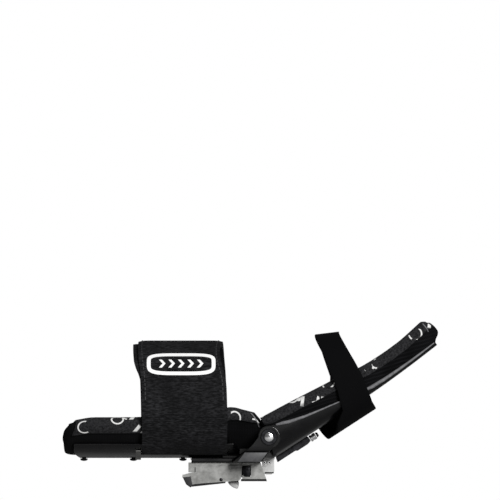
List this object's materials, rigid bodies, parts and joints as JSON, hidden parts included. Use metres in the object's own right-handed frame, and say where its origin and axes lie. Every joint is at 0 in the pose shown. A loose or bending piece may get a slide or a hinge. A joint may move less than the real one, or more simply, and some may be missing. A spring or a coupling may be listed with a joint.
{
  "type": "bowling wrist support glove",
  "caption": "Hinged metal bowling wrist support with padded forearm and hand troughs, a wide elastic strap, a hand strap and a steel latch.",
  "frame": {"origin": "on the axis of the forearm hollow, at the middle of the forearm strap", "axes": "+X along the forearm toward the fingers, +Z toward the palm, the thumb's side at -Y"},
  "size_m": [0.2542, 0.085, 0.1154],
  "materials": {
    "black_lacquer": "gloss black lacquer on sheet steel",
    "side_fabric": "black knit over foam",
    "liner_print": null,
    "ribbed_elastic": "ribbed woven elastic",
    "webbing": "smooth black webbing",
    "zinc_steel": "zinc plated steel, lightly brushed",
    "chrome": "bright plated steel",
    "dark_steel": "dark plated steel",
    "badge_print": "raised white print on the elastic",
    "piping": "bound edge and sewing thread"
  },
  "bodies": {
    "forearm": {"forearm_plate": "black_lacquer", "forearm_pad": "side_fabric", "forearm_pad_liner": "liner_print", "forearm_strap": "ribbed_elastic", "strap_keeper": "zinc_steel", "plate_rivet_rear": "dark_steel", "plate_rivet_middle": "dark_steel", "plate_rivet_front": "dark_steel", "hinge_yoke": "black_lacquer", "pivot_washer_near": "dark_steel", "pivot_rivet_near": "chrome", "pivot_washer_far": "dark_steel", "pivot_rivet_far": "chrome", "latch_mount": "black_lacquer", "latch_base": "zinc_steel", "latch_pin": "dark_steel"},
    "lever": {"latch_lever": "zinc_steel", "latch_hook": "chrome"},
    "hand": {"hand_plate": "black_lacquer", "hand_pad": "side_fabric", "hand_pad_liner": "liner_print", "hand_strap": "webbing", "heel_lug": "chrome", "lock_bar": "dark_steel", "lock_screw": "chrome", "lock_nut": "dark_steel"}
  },
  "joints": [
    {"name": "wrist_hinge", "type": "hinge", "parent": "forearm", "child": "hand", "pos_m": [0.0574, 0, -0.02985], "axis": [0, -1, 0], "range_deg": [-33, 0]},
    {"name": "release_lever", "type": "hinge", "parent": "forearm", "child": "lever", "pos_m": [0.042, 0, -0.0531], "axis": [0, -1, 0], "range_deg": [0, 70]}
  ]
}
